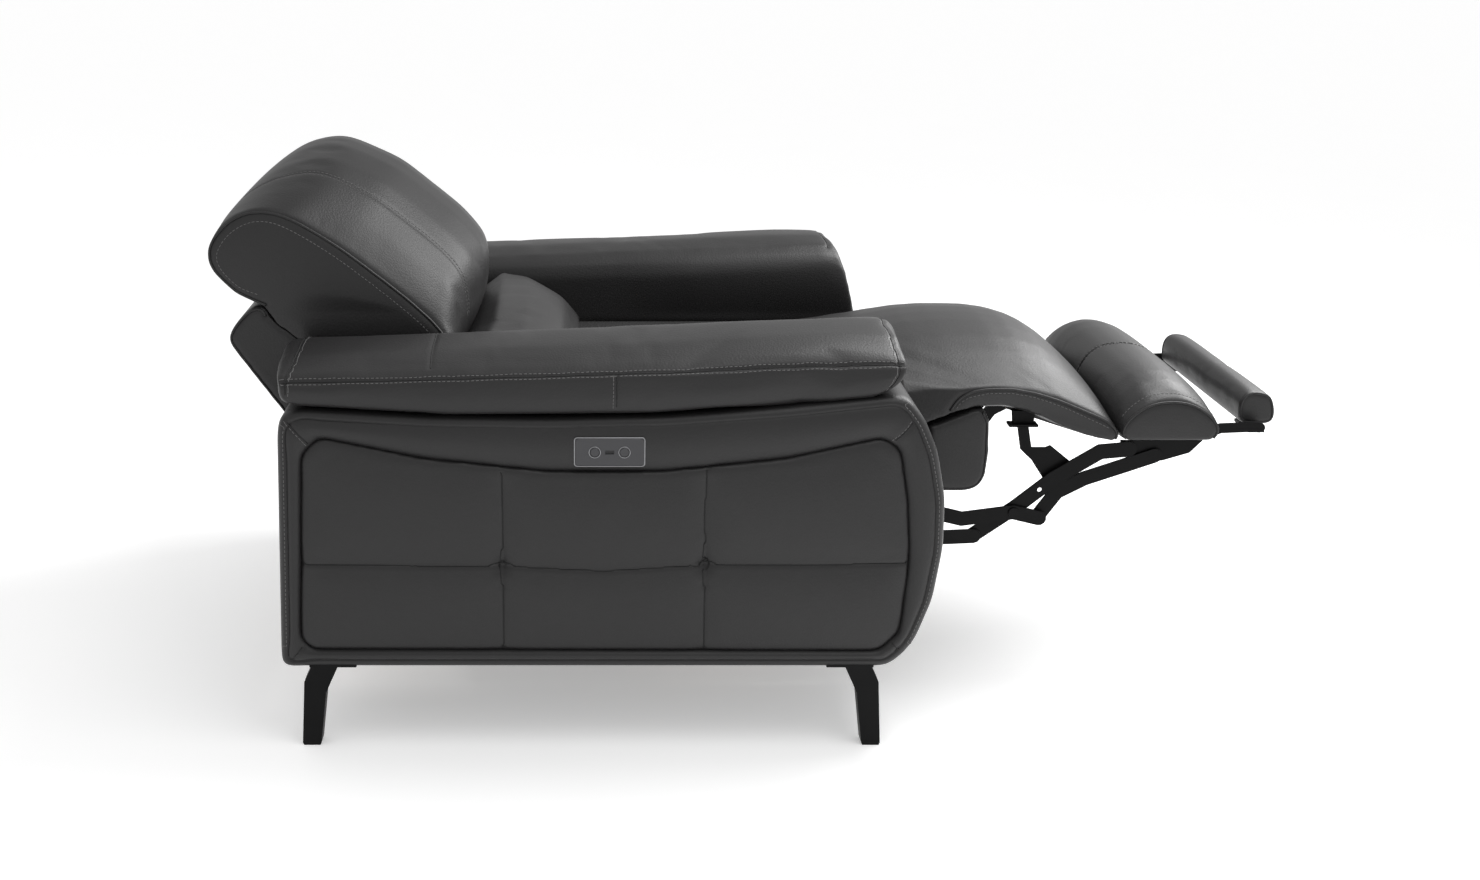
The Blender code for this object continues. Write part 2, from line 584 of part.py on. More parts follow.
def build_leg_rest(leather, wood, steel):
    for side, tag in SIDES:
        build_linkage(side, tag, steel)
    reach = lane(2, 1)[0]
    prism("drive_tube", circle(UPPER_ROOT, 0.009), -reach, reach, steel, UPPER_ROOT)
    carriage = box("carriage", (-0.024, 0.024), (0.330, 0.380), (0.283, 0.327), steel)
    cut(carriage, box("channel", (-0.0134, 0.0134), (0.30, 0.41), (0.2916, 0.3184), steel))
    board = outline_of((0.690, 0.4682), (0.690, 0.4632), (0.765, 0.4378), (0.830, 0.4165),
                       (0.830, 0.4215), (0.815, 0.4267), (0.765, 0.4427), (0.700, 0.4652))
    prism("leg_board", board, -0.215, 0.215, wood, LEG_PIVOT)
    build_leg_cushion(leather)
    pad = outline_of((0.860, 0.4160), (0.857, 0.428), (0.863, 0.448), (0.880, 0.469),
                     (0.935, 0.485), (0.996, 0.480), (1.021, 0.460), (1.033, 0.432),
                     (1.029, 0.4160))
    shares = (0.0, 0.0, 0.4, 1.0, 1.0, 0.7, 0.2, 0.0, 0.0)
    rest_pad = cushion("rest_pad", pad, lifts_of(UPWARD, 0.034, shares), PAD_HALF, leather,
                       boxy=3.0, pivot=LONG_TIP)
    outer, inner = lane(6, 1)
    for side, _ in SIDES:
        cut(rest_pad, box("slot", (side * (inner - 0.001), side * (outer + 0.001)), (0.96, 1.06),
                          (0.40, 0.4435), leather))
    foot = outline_of((1.083, 0.4305), (1.079, 0.442), (1.080, 0.463), (1.088, 0.473),
                      (1.124, 0.478), (1.134, 0.469), (1.137, 0.442), (1.133, 0.4305))
    cushion("foot_pad", foot, [Vector((0.0, 0.0))] * len(foot), FOOT_PAD_HALF, leather,
            roll=0.005, pivot=FOOT_PIVOT)


def build_leg_cushion(leather):
    outline = outline_of((0.640, 0.4810), (0.638, 0.492), (0.643, 0.506), (0.681, 0.516),
                         (0.745, 0.508), (0.803, 0.483), (0.840, 0.453), (0.850, 0.437),
                         (0.845, 0.4250), (0.815, 0.4275), (0.765, 0.4435), (0.700, 0.4660),
                         (0.668, 0.4775))
    shares = (0.0, 0.3, 1.0, 1.0, 0.9, 0.8, 0.5, 0.15, 0.0, 0.0, 0.0, 0.0, 0.0)
    cushion("leg_cushion", outline, lifts_of(UPWARD, 0.058, shares), PAD_HALF, leather,
            pivot=LEG_PIVOT)


# ---------------------------------------------------------------- the chair

def main():
    for old in list(bpy.data.objects):
        bpy.data.objects.remove(old)
    leather = material("leather", (0.055, 0.054, 0.056), 0.45)
    steel = material("steel", (0.012, 0.012, 0.013), 0.42, 0.6)
    metal = material("gunmetal", (0.16, 0.16, 0.165), 0.32, 0.9)
    wood = material("wood", (0.45, 0.30, 0.17), 0.60)
    foam = material("spring_felt", (0.55, 0.55, 0.53), 0.90)
    plastic = material("plastic", (0.02, 0.02, 0.022), 0.50)
    shells = [build_arm(side, tag, leather, wood) for side, tag in SIDES]
    build_legs(steel)
    build_base(steel, wood, leather, plastic)
    build_controls(shells[0], metal, plastic)
    build_seat(leather, wood, steel, foam, plastic)
    build_back(leather, wood, steel)
    build_headrest(leather, wood, steel)
    build_leg_rest(leather, wood, steel)


main()
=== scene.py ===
"""Looks of a power recliner armchair in charcoal leather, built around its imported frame.

Side views are drawn as (fwd, up) points in metres: fwd grows towards the feet from the seat's
reference line, and up from the floor. X runs across the chair, and the right arm is at -X.
"""
import json
from math import cos, pi, radians, sin

import bmesh
import bpy
import numpy as np
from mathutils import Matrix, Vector
from mathutils.bvhtree import BVHTree
from mathutils.kdtree import KDTree


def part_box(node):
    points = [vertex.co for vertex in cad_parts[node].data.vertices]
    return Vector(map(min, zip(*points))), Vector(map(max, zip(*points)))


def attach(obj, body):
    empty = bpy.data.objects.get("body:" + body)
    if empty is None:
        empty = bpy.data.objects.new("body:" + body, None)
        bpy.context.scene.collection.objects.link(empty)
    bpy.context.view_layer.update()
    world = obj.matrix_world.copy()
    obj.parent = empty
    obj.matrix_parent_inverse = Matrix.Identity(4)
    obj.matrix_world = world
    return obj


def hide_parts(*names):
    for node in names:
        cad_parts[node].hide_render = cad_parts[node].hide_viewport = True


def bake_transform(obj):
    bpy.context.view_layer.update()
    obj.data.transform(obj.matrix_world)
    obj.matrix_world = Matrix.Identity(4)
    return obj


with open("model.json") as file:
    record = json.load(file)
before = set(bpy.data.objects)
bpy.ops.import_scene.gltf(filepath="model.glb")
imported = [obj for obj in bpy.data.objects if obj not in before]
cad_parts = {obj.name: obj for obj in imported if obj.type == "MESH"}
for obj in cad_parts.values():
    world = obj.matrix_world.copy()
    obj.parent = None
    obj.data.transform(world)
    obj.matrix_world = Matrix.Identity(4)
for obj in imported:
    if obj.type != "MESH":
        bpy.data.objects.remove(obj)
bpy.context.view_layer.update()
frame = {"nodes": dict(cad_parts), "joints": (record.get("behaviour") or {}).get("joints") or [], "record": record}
NODES = frame["nodes"]
JOINTS = {joint["name"]: joint for joint in frame["joints"]}
SEAT_LINE = JOINTS["recline"]["pos_m"][1] - 0.060

SIDES = ((-1, "r"), (1, "l"))
VOXEL = 0.0060            # remesh size of the large pieces
FINE_VOXEL = 0.0050
STITCH = 0.0046           # length of a stitch
STITCH_GAP = 0.0024
THREAD_R = 0.00045
PIPING_R = 0.0022
SEAM_SHADE_R = 0.0008         # radius of the near-black tube of painted shade at the bottom of a sewn seam
CREASES = 0.22            # share of the simulated creases that stays in the leather
TIGHT_SEAM = 0.0045       # seams narrower than this get a tube of painted shade in their fold
PATH_STEP = 0.004         # spacing of the points along pipings and seams
BESIDE = 0.004            # from a seam to the stitches beside it
EDGE_REACH = 0.006        # a simulated cover stays put this close to its edge seams
BETWEEN_ARMS = 0.2700     # half width of what fits between the arms
CLOTH_FRAMES = 20
SWELL_ROUNDS = 30         # smoothing rounds that part the swell from the creases


# ---------------------------------------------------------------- points and meshes

def place(x, fwd, up):
    """A side view's point in the world."""
    return Vector((x, SEAT_LINE - fwd, up))


def coords(mesh):
    values = np.empty(len(mesh.vertices) * 3)
    mesh.vertices.foreach_get("co", values)
    return values.reshape(-1, 3)


def set_coords(mesh, values):
    mesh.vertices.foreach_set("co", np.asarray(values, np.float32).ravel())
    mesh.update()


def normals(mesh):
    values = np.empty(len(mesh.vertices) * 3)
    mesh.vertex_normals.foreach_get("vector", values)
    return values.reshape(-1, 3)


def link(name, data):
    made = bpy.data.objects.new(name, data)
    bpy.context.scene.collection.objects.link(made)
    return made


def mesh_object(name, points, faces):
    mesh = bpy.data.meshes.new(name)
    mesh.from_pydata([tuple(point) for point in points], [], faces)
    shape = bmesh.new()
    shape.from_mesh(mesh)
    bmesh.ops.recalc_face_normals(shape, faces=shape.faces)
    shape.to_mesh(mesh)
    shape.free()
    return link(name, mesh)


def skin(name, rings):
    """A closed skin through rings of points. Each ring is (x, side outline)."""
    count = len(rings[0][1])
    points = [place(x, p[0], p[1]) for x, outline in rings for p in outline]
    faces = [tuple(range(count)), tuple(range(len(points) - count, len(points)))]
    for ring in range(len(rings) - 1):
        for i in range(count):
            j = (i + 1) % count
            faces.append((ring * count + i, ring * count + j,
                          (ring + 1) * count + j, (ring + 1) * count + i))
    return mesh_object(name, points, faces)


def eased(points, rounds, step=0.005):
    """The closed outline's rows, evenly spaced along its first two columns and rounded off."""
    rows = np.array(points, float)
    rows = np.vstack([rows, rows[:1]])
    along = np.concatenate([[0.0], np.cumsum(np.linalg.norm(np.diff(rows[:, :2], axis=0), axis=1))])
    marks = np.arange(0.0, along[-1] - step / 2, step)
    rows = np.stack([np.interp(marks, along, column) for column in rows.T], axis=1)
    return smooth_rows(rows, rounds, True)


def cushion(name, half, points, boxy, fullness, rounds=6):
    """A boxed cushion. points holds (fwd, up, fwd move, up move), the moves at its middle.

    The moves fade towards the sides, later the higher boxy is. rounds softens the corners.
    """
    points = eased(points, rounds)
    rings = []
    for share in (-1, -0.985, -0.95, -0.9, -0.8, -0.65, -0.45, -0.2, 0,
                  0.2, 0.45, 0.65, 0.8, 0.9, 0.95, 0.985, 1):
        rise = fullness * (1 - abs(share) ** boxy)
        rings.append((share * half, [(f + df * rise, u + du * rise) for f, u, df, du in points]))
    return skin(name, rings)


def copy_of(node, name):
    """A new piece with a CAD node's shape."""
    return link(name, NODES[node].data.copy())


def clip_sides(piece, limit):
    """Keeps the piece within limit on both sides of the chair's middle."""
    points = coords(piece.data)
    points[:, 0] = np.clip(points[:, 0], -limit, limit)
    set_coords(piece.data, points)


def bake(piece):
    """Makes the piece's modifiers part of its mesh."""
    graph = bpy.context.evaluated_depsgraph_get()
    mesh = bpy.data.meshes.new_from_object(piece.evaluated_get(graph))
    old = piece.data
    piece.modifiers.clear()
    piece.data = mesh
    bpy.data.meshes.remove(old)


def remesh(piece, size):
    step = piece.modifiers.new("remesh", "REMESH")
    step.mode = "VOXEL"
    step.voxel_size = size
    bake(piece)


def subdivide(piece):
    step = piece.modifiers.new("subdivide", "SUBSURF")
    step.levels = 1
    step.render_levels = 1
    bake(piece)


def neighbour_means(mesh, values):
    """Each point's mean of its neighbours' values."""
    ends = np.empty(len(mesh.edges) * 2, np.int64)
    mesh.edges.foreach_get("vertices", ends)
    ends = ends.reshape(-1, 2)
    share = np.maximum(np.bincount(ends.ravel(), minlength=len(values)), 1)
    return np.stack([
        np.bincount(ends[:, 0], values[ends[:, 1], axis], len(values))
        + np.bincount(ends[:, 1], values[ends[:, 0], axis], len(values))
        for axis in range(3)], axis=1) / share[:, None]


def relax(piece, rounds, back=0.0):
    """Moves each point towards its neighbours' mean, then back by a share, which keeps the size."""
    points = coords(piece.data)
    for amount in ([0.5, -back] if back else [0.5]) * rounds:
        points = points + amount * (neighbour_means(piece.data, points) - points)
    set_coords(piece.data, points)


def iron(piece, rounds):
    """Takes out creases and steps but keeps the piece's size."""
    relax(piece, rounds, 0.53)


# ---------------------------------------------------------------- paths and seams

def resample(path, step, closed=False):
    """The path's points again, evenly spaced."""
    points = np.array([tuple(p) for p in path], float)
    if closed:
        points = np.vstack([points, points[:1]])
    lengths = np.linalg.norm(np.diff(points, axis=0), axis=1)
    along = np.concatenate([[0.0], np.cumsum(lengths)])
    count = max(2, int(round(along[-1] / step)) + 1)
    marks = np.linspace(0, along[-1], count)
    if closed:
        marks = marks[:-1]
    return np.stack([np.interp(marks, along, points[:, axis]) for axis in range(3)], axis=1)


def curve(path, closed=False, rounds=3):
    """The path with its corners cut off, again and again."""
    points = np.array([tuple(p) for p in path], float)
    for _ in range(rounds):
        after = np.roll(points, -1, axis=0)
        made = np.stack([0.75 * points + 0.25 * after, 0.25 * points + 0.75 * after], axis=1)
        if closed:
            points = made.reshape(-1, 3)
        else:
            points = np.vstack([points[:1], made[:-1].reshape(-1, 3), points[-1:]])
    return points


def distances(points, path):
    """How far each point is from the path."""
    dense = resample(path, 0.0015)
    tree = KDTree(len(dense))
    for i, spot in enumerate(dense):
        tree.insert(spot, i)
    tree.balance()
    low, high = dense.min(0) - 0.05, dense.max(0) + 0.05
    far = np.full(len(points), 1.0)
    near = np.nonzero(np.all((points > low) & (points < high), axis=1))[0]
    for i in near:
        far[i] = tree.find(points[i])[2]
    return far


def surface(piece):
    mesh = piece.data
    mesh.calc_loop_triangles()
    corners = [tuple(triangle.vertices) for triangle in mesh.loop_triangles]
    return BVHTree.FromPolygons([v.co for v in mesh.vertices], corners)


def lay_on(tree, path):
    """The path's points moved onto a surface, and the surface's normals there."""
    spots, ups = [], []
    for point in path:
        spot, up, _, _ = tree.find_nearest(Vector(point))
        spots.append(tuple(spot))
        ups.append(tuple(up))
    return np.array(spots), np.array(ups)


def press(piece, seams):
    """Pulls the surface in along sewn lines. A seam is (path, depth, width)."""
    tree = surface(piece)
    points = coords(piece.data)
    ups = normals(piece.data)
    for path, depth, width in seams:
        laid, _ = lay_on(tree, resample(path, 0.003))
        points -= ups * (depth * np.exp(-(distances(points, laid) / width) ** 2))[:, None]
    set_coords(piece.data, points)


def directions(points, closed=False):
    """The unit direction of the path at each of its points."""
    if closed:
        way = np.roll(points, -1, axis=0) - np.roll(points, 1, axis=0)
    else:
        way = np.gradient(points, axis=0)
    return way / np.maximum(np.linalg.norm(way, axis=1), 1e-9)[:, None]


def smooth_rows(values, rounds, closed=False):
    """The rows drawn towards their neighbours. An open run keeps its ends."""
    for _ in range(rounds):
        mean = (np.roll(values, 1, axis=0) + np.roll(values, -1, axis=0)) / 2
        if not closed:
            mean[0], mean[-1] = values[0], values[-1]
        values = (values + mean) / 2
    return values


def tube(name, points, ups, radius, closed=False, rise=0.3, sides=8):
    """A round cord laid along a path, sunk into the surface, with rise of its radius above it."""
    ways = directions(points, closed)
    ups = smooth_rows(ups, 6, closed)
    across = np.cross(ways, ups)
    across /= np.maximum(np.linalg.norm(across, axis=1), 1e-9)[:, None]
    ups = np.cross(across, ways)
    centres = points + ups * radius * rise
    rows = []
    for i in range(sides):
        turn = 2 * pi * i / sides
        rows.append(centres + radius * (cos(turn) * ups + sin(turn) * across))
    verts = np.stack(rows, axis=1).reshape(-1, 3)
    count = len(points)
    faces = []
    for row in range(count if closed else count - 1):
        after = (row + 1) % count
        for i in range(sides):
            j = (i + 1) % sides
            faces.append((row * sides + i, row * sides + j, after * sides + j, after * sides + i))
    if not closed:
        faces.append(tuple(range(sides)))
        faces.append(tuple(range((count - 1) * sides, count * sides)))
    made = mesh_object(name, verts, faces)
    made.data.shade_smooth()
    return made


def thread(name, tree, paths):
    """Rows of separate stitches along paths on a surface, as one piece."""
    shape = ((-0.5, 0.35), (-0.38, 1.0), (0.38, 1.0), (0.5, 0.35))
    sides = 6
    verts, faces = [], []
    for path in paths:
        spots, ups = lay_on(tree, resample(path, STITCH + STITCH_GAP))
        ways = directions(spots)
        for spot, up, way in zip(spots, ups, ways):
            across = np.cross(way, up)
            across /= max(np.linalg.norm(across), 1e-9)
            up = np.cross(across, way)
            start = len(verts)
            for along, width in shape:
                for i in range(sides):
                    turn = 2 * pi * i / sides
                    verts.append(spot + way * STITCH * along + THREAD_R * width
                                 * (across * sin(turn) * 1.3 + up * (cos(turn) + 0.25)))
            for row in range(3):
                for i in range(sides):
                    j = (i + 1) % sides
                    faces.append((start + row * sides + i, start + row * sides + j,
                                  start + (row + 1) * sides + j, start + (row + 1) * sides + i))
            faces.append(tuple(start + i for i in range(sides)))
            faces.append(tuple(start + 3 * sides + i for i in range(sides)))
    made = mesh_object(name, verts, faces)
    made.data.shade_smooth()
    return made


# ---------------------------------------------------------------- cloth

def inflate(piece, held, cap, pressure=4.0):
    """Fills the piece like a cushion by cloth simulation. held marks the points that stay."""
    before = coords(piece.data)
    group = piece.vertex_groups.new(name="held")
    group.add([int(i) for i in np.nonzero(held)[0]], 1.0, "REPLACE")
    cloth = piece.modifiers.new("cloth", "CLOTH")
    cloth.settings.vertex_group_mass = "held"
    cloth.settings.quality = 4
    cloth.settings.mass = 0.3
    cloth.settings.tension_stiffness = 12
    cloth.settings.compression_stiffness = 12
    cloth.settings.shear_stiffness = 4
    cloth.settings.bending_stiffness = 2.0
    cloth.settings.shrink_min = -0.005
    cloth.settings.use_pressure = True
    cloth.settings.uniform_pressure_force = pressure
    cloth.settings.effector_weights.gravity = 0.0
    cloth.collision_settings.use_collision = False
    cloth.collision_settings.use_self_collision = False
    scene = bpy.context.scene
    for step in range(1, CLOTH_FRAMES + 1):
        scene.frame_set(step)
    bake(piece)
    scene.frame_set(1)
    move = coords(piece.data) - before
    size = np.linalg.norm(move, axis=1)
    move *= (cap * np.tanh(size / cap) / np.maximum(size, 1e-9))[:, None]
    swell = move.copy()
    for _ in range(SWELL_ROUNDS):
        swell += 0.5 * (neighbour_means(piece.data, swell) - swell)
        swell[held] = 0.0
    set_coords(piece.data, before + (1 - CREASES) * swell + CREASES * move)
    piece.vertex_groups.clear()
    iron(piece, 3)


def shrink(piece, amount):
    """Moves the surface in by amount, or out where it is negative."""
    set_coords(piece.data, coords(piece.data) - normals(piece.data) * amount)


# ---------------------------------------------------------------- materials

def new_material(name, colour, roughness, metallic=0.0):
    made = bpy.data.materials.new(name)
    made.use_nodes = True
    shader = made.node_tree.nodes["Principled BSDF"]
    shader.inputs["Base Color"].default_value = (*colour, 1.0)
    shader.inputs["Roughness"].default_value = roughness
    shader.inputs["Metallic"].default_value = metallic
    return made, made.node_tree, shader


def add_node(tree, kind, **values):
    made = tree.nodes.new(kind)
    for name, value in values.items():
        if name in made.inputs:
            made.inputs[name].default_value = value
        else:
            setattr(made, name, value)
    return made


def noise(tree, where, scale, detail=2.0, rough=0.5, stretch=(1, 1, 1)):
    mapping = add_node(tree, "ShaderNodeMapping", Scale=stretch)
    tree.links.new(where, mapping.inputs["Vector"])
    made = add_node(tree, "ShaderNodeTexNoise", Scale=scale, Detail=detail, Roughness=rough)
    tree.links.new(mapping.outputs[0], made.inputs["Vector"])
    return made.outputs["Fac"]


def ramp(tree, value, low, high, start=0.0, end=1.0):
    """The value mapped from start..end to low..high."""
    made = add_node(tree, "ShaderNodeMapRange")
    made.inputs["From Min"].default_value = start
    made.inputs["From Max"].default_value = end
    made.inputs["To Min"].default_value = low
    made.inputs["To Max"].default_value = high
    tree.links.new(value, made.inputs["Value"])
    return made.outputs[0]


def tint(tree, value, dark, light):
    made = add_node(tree, "ShaderNodeMix", data_type="RGBA")
    colours = [socket for socket in made.inputs if socket.type == "RGBA"]
    colours[0].default_value = (*dark, 1.0)
    colours[1].default_value = (*light, 1.0)
    tree.links.new(value, made.inputs[0])
    return next(socket for socket in made.outputs if socket.type == "RGBA")


def bump(tree, value, strength, distance, before=None):
    made = add_node(tree, "ShaderNodeBump", Strength=strength, Distance=distance)
    tree.links.new(value, made.inputs["Height"])
    if before is not None:
        tree.links.new(before, made.inputs["Normal"])
    return made.outputs[0]


def leather_material():
    """Pigmented leather: fine pebbles, faint folds, and a soft shine that varies a little."""
    made, tree, shader = new_material("leather", (0.0125, 0.0121, 0.0124), 0.44)
    where = add_node(tree, "ShaderNodeTexCoord").outputs["Object"]
    pebbles = add_node(tree, "ShaderNodeTexVoronoi", Scale=330.0, feature="SMOOTH_F1",
                       Smoothness=0.6)
    tree.links.new(where, pebbles.inputs["Vector"])
    folds = noise(tree, where, 38.0, 5.0, 0.55)
    patches = noise(tree, where, 5.0, 3.0)
    fold_bump = bump(tree, folds, 0.15, 0.0010)
    grain = bump(tree, pebbles.outputs["Distance"], 0.40, 0.0006, fold_bump)
    tree.links.new(grain, shader.inputs["Normal"])
    tree.links.new(ramp(tree, patches, 0.45, 0.51, 0.3, 0.7), shader.inputs["Roughness"])
    tree.links.new(tint(tree, patches, (0.0112, 0.0108, 0.0111), (0.0140, 0.0136, 0.0139)),
                   shader.inputs["Base Color"])
    shader.inputs["Specular IOR Level"].default_value = 0.38
    shader.inputs["Coat Weight"].default_value = 0.04
    shader.inputs["Coat Roughness"].default_value = 0.30
    return made


def thread_material():
    made, tree, shader = new_material("thread", (0.06, 0.058, 0.058), 0.55)
    where = add_node(tree, "ShaderNodeTexCoord").outputs["Object"]
    twist = noise(tree, where, 900.0, 2.0)
    tree.links.new(bump(tree, twist, 0.5, 0.0002), shader.inputs["Normal"])
    tree.links.new(tint(tree, twist, (0.085, 0.083, 0.083), (0.12, 0.118, 0.118)),
                   shader.inputs["Base Color"])
    return made


def painted_steel():
    """Black satin paint over steel."""
    made, tree, shader = new_material("black_steel", (0.0035, 0.0035, 0.0037), 0.45)
    where = add_node(tree, "ShaderNodeTexCoord").outputs["Object"]
    skin_of_paint = noise(tree, where, 420.0, 2.0)
    tree.links.new(bump(tree, skin_of_paint, 0.12, 0.0003), shader.inputs["Normal"])
    tree.links.new(ramp(tree, noise(tree, where, 12.0, 3.0), 0.38, 0.54, 0.3, 0.7),
                   shader.inputs["Roughness"])
    shader.inputs["Specular IOR Level"].default_value = 0.12
    return made


def gunmetal_material(name, colour, rough):
    """Dark metal brushed along the arm."""
    made, tree, shader = new_material(name, colour, rough, 1.0)
    where = add_node(tree, "ShaderNodeTexCoord").outputs["Object"]
    lines = noise(tree, where, 900.0, 3.0, 0.5, (1, 0.03, 1))
    tree.links.new(bump(tree, lines, 0.15, 0.0002), shader.inputs["Normal"])
    tree.links.new(ramp(tree, lines, rough - 0.06, rough + 0.08), shader.inputs["Roughness"])
    return made


def wood_material(name, dark, light):
    made, tree, shader = new_material(name, dark, 0.62)
    where = add_node(tree, "ShaderNodeTexCoord").outputs["Object"]
    grain = noise(tree, where, 60.0, 5.0, 0.6, (1, 0.08, 1))
    tree.links.new(tint(tree, grain, dark, light), shader.inputs["Base Color"])
    tree.links.new(bump(tree, grain, 0.25, 0.0005), shader.inputs["Normal"])
    return made


def felt_material():
    made, tree, shader = new_material("felt", (0.55, 0.55, 0.53), 0.95)
    where = add_node(tree, "ShaderNodeTexCoord").outputs["Object"]
    fibres = noise(tree, where, 350.0, 6.0, 0.7)
    tree.links.new(tint(tree, fibres, (0.42, 0.42, 0.40), (0.66, 0.66, 0.64)),
                   shader.inputs["Base Color"])
    tree.links.new(bump(tree, fibres, 0.6, 0.001), shader.inputs["Normal"])
    return made


def plastic_material():
    made, tree, shader = new_material("plastic", (0.018, 0.018, 0.020), 0.50)
    where = add_node(tree, "ShaderNodeTexCoord").outputs["Object"]
    texture = noise(tree, where, 700.0, 2.0)
    tree.links.new(bump(tree, texture, 0.3, 0.0002), shader.inputs["Normal"])
    tree.links.new(ramp(tree, texture, 0.44, 0.58), shader.inputs["Roughness"])
    return made


def seam_shade_material():
    """The painted shadow inside a tight seam."""
    material, tree, shader = new_material("seam_shadow", (0.004, 0.004, 0.004), 0.7)
    where = add_node(tree, "ShaderNodeTexCoord").outputs["Object"]
    tree.links.new(tint(tree, noise(tree, where, 400.0), (0.003, 0.003, 0.003), (0.006, 0.006, 0.006)),
                   shader.inputs["Base Color"])
    return material


LEATHER = leather_material()
THREAD = thread_material()
SEAM_SHADE = seam_shade_material()
STEEL = painted_steel()
GUNMETAL = gunmetal_material("gunmetal", (0.070, 0.070, 0.073), 0.38)
BRIGHT = gunmetal_material("bright_metal", (0.28, 0.28, 0.29), 0.30)
WOOD = wood_material("plywood", (0.34, 0.21, 0.11), (0.56, 0.40, 0.24))
STAINED = wood_material("stained_plywood", (0.010, 0.009, 0.008), (0.018, 0.016, 0.014))
FELT = felt_material()
PLASTIC = plastic_material()
FINISHES = {"leather": LEATHER, "steel": STEEL, "gunmetal": GUNMETAL, "wood": WOOD,
            "spring_felt": FELT, "plastic": PLASTIC}


def wear(piece, finish):
    piece.data.materials.clear()
    piece.data.materials.append(finish)
    return piece


def finish_cad_nodes():
    """Gives the CAD nodes their finishes. The deck's edge shows beside the seat, so it is stained."""
    for part in frame["record"]["subparts"]:
        finish = FINISHES[part["material_slot"]]
        if part["node"] == "seat_deck":
            finish = STAINED
        for slot in NODES[part["node"]].material_slots:
            slot.material = finish


def dress(piece, seams=(), pipings=(), rows=(), body=None, closed=()):
    """Presses the seams in, then adds pipings, tubes of painted shade along tight seams, and rows of stitches.
    Returns all the pieces.
    """
    if seams:
        press(piece, seams)
    tree = surface(piece)
    made = []
    for number, path in enumerate(pipings):
        is_closed = number in closed
        spots, ups = lay_on(tree, resample(path, PATH_STEP, is_closed))
        spots = smooth_rows(spots, 4, is_closed)
        name = "%s_piping_%d" % (piece.name, number + 1)
        made.append(wear(tube(name, spots, ups, PIPING_R, is_closed), LEATHER))
    for number, (path, _, width) in enumerate(seams):
        # Tight seams get a thin near-black tube: painted shade in the seam's fold.
        if width < TIGHT_SEAM:
            spots, ups = lay_on(tree, resample(path, PATH_STEP))
            made.append(wear(tube("%s_seam_%d" % (piece.name, number + 1), spots, ups, SEAM_SHADE_R),
                             SEAM_SHADE))
    if rows:
        made.append(wear(thread(piece.name + "_stitching", tree, rows), THREAD))
    wear(piece, LEATHER)
    piece.data.shade_smooth()
    if body:
        for shown in [piece, *made]:
            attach(shown, body)
    return made


def mirror_of(piece, name):
    """The piece's mirror image across the middle of the chair."""
    mesh = piece.data.copy()
    points = coords(mesh)
    points[:, 0] *= -1
    set_coords(mesh, points)
    mesh.flip_normals()
    return link(name, mesh)


# ---------------------------------------------------------------- seat and leg cushion

SEAT_HALF = 0.2645
SEAT_OUTLINE = (
    # fwd, up, and the moves at the middle: the front drapes over the fascia and runs on
    (-0.026, 0.390, 0, 0), (0.26, 0.3885, 0, 0), (0.548, 0.3885, 0, 0), (0.549, 0.450, 0, 0),
    (0.600, 0.4680, 0, 0), (0.634, 0.4780, 0, 0), (0.684, 0.4765, 0, 0), (0.725, 0.4660, 0, 0),
    (0.766, 0.4460, 0, 0), (0.808, 0.4310, 0, 0), (0.845, 0.4205, 0, 0), (0.862, 0.4185, 0, 0),
    (0.870, 0.4250, 0, 0.006), (0.869, 0.4340, 0, 0.014), (0.862, 0.4450, 0, 0.024),
    (0.850, 0.4555, 0, 0.030), (0.830, 0.4655, 0, 0.044), (0.800, 0.4780, 0, 0.064),
    (0.764, 0.4930, 0, 0.076), (0.723, 0.5055, 0, 0.077), (0.682, 0.5120, 0, 0.076),
    (0.640, 0.5130, 0, 0.075), (0.600, 0.5120, 0, 0.075),
    (0.550, 0.5090, 0, 0.072), (0.450, 0.4950, 0, 0.060), (0.300, 0.472, 0, 0.040),
    (0.150, 0.452, 0, 0.018), (0.050, 0.438, 0, 0.006), (-0.010, 0.430, 0, 0),
    (-0.026, 0.416, 0, 0))
GUSSET_TOP = ((0.590, 0.4720), (0.600, 0.490), (0.618, 0.503), (0.645, 0.509), (0.682, 0.5105),
              (0.723, 0.5040), (0.764, 0.4915), (0.800, 0.4765), (0.830, 0.4640),
              (0.851, 0.4540), (0.864, 0.4430), (0.8705, 0.4300), (0.865, 0.4190))


def build_seat_cover():
    """Seat cushion and leg cushion under one leather cover."""
    piece = cushion("seat_cover", SEAT_HALF, SEAT_OUTLINE, 2.4, 0.78, 2)
    remesh(piece, VOXEL)
    relax(piece, 2)
    iron(piece, 14)
    points = coords(piece.data)
    held = points[:, 2] < 0.42
    edges = {}
    for side, tag in SIDES:
        edges[tag] = curve([place(side * SEAT_HALF, *spot) for spot in GUSSET_TOP])
        held |= distances(points, edges[tag]) < EDGE_REACH
    shrink(piece, 0.002)
    inflate(piece, held, 0.012)
    clip_sides(piece, BETWEEN_ARMS)
    subdivide(piece)
    seams, pipings, rows = [], [], []
    for side, tag in SIDES:
        inner = [(0.600, 0.478), (0.606, 0.488), (0.620, 0.495), (0.645, 0.500), (0.682, 0.5015),
                 (0.720, 0.4950), (0.760, 0.4825), (0.797, 0.4675), (0.826, 0.4545),
                 (0.846, 0.4455)]
        pipings.append(edges[tag])
        seams.append((edges[tag], 0.0022, 0.006))
        rows.append(curve([place(side * 0.27, *spot) for spot in inner]))
    parts = dress(piece, seams, pipings, rows)
    for shown in [piece, *parts]:
        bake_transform(shown)
    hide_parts("seat_cushion", "leg_cushion")
    lining = copy_of("leg_board", "leg_board_lining")
    shrink(lining, -0.0004)
    dress(lining, body="leg_rest")
    lining.data.shade_flat()


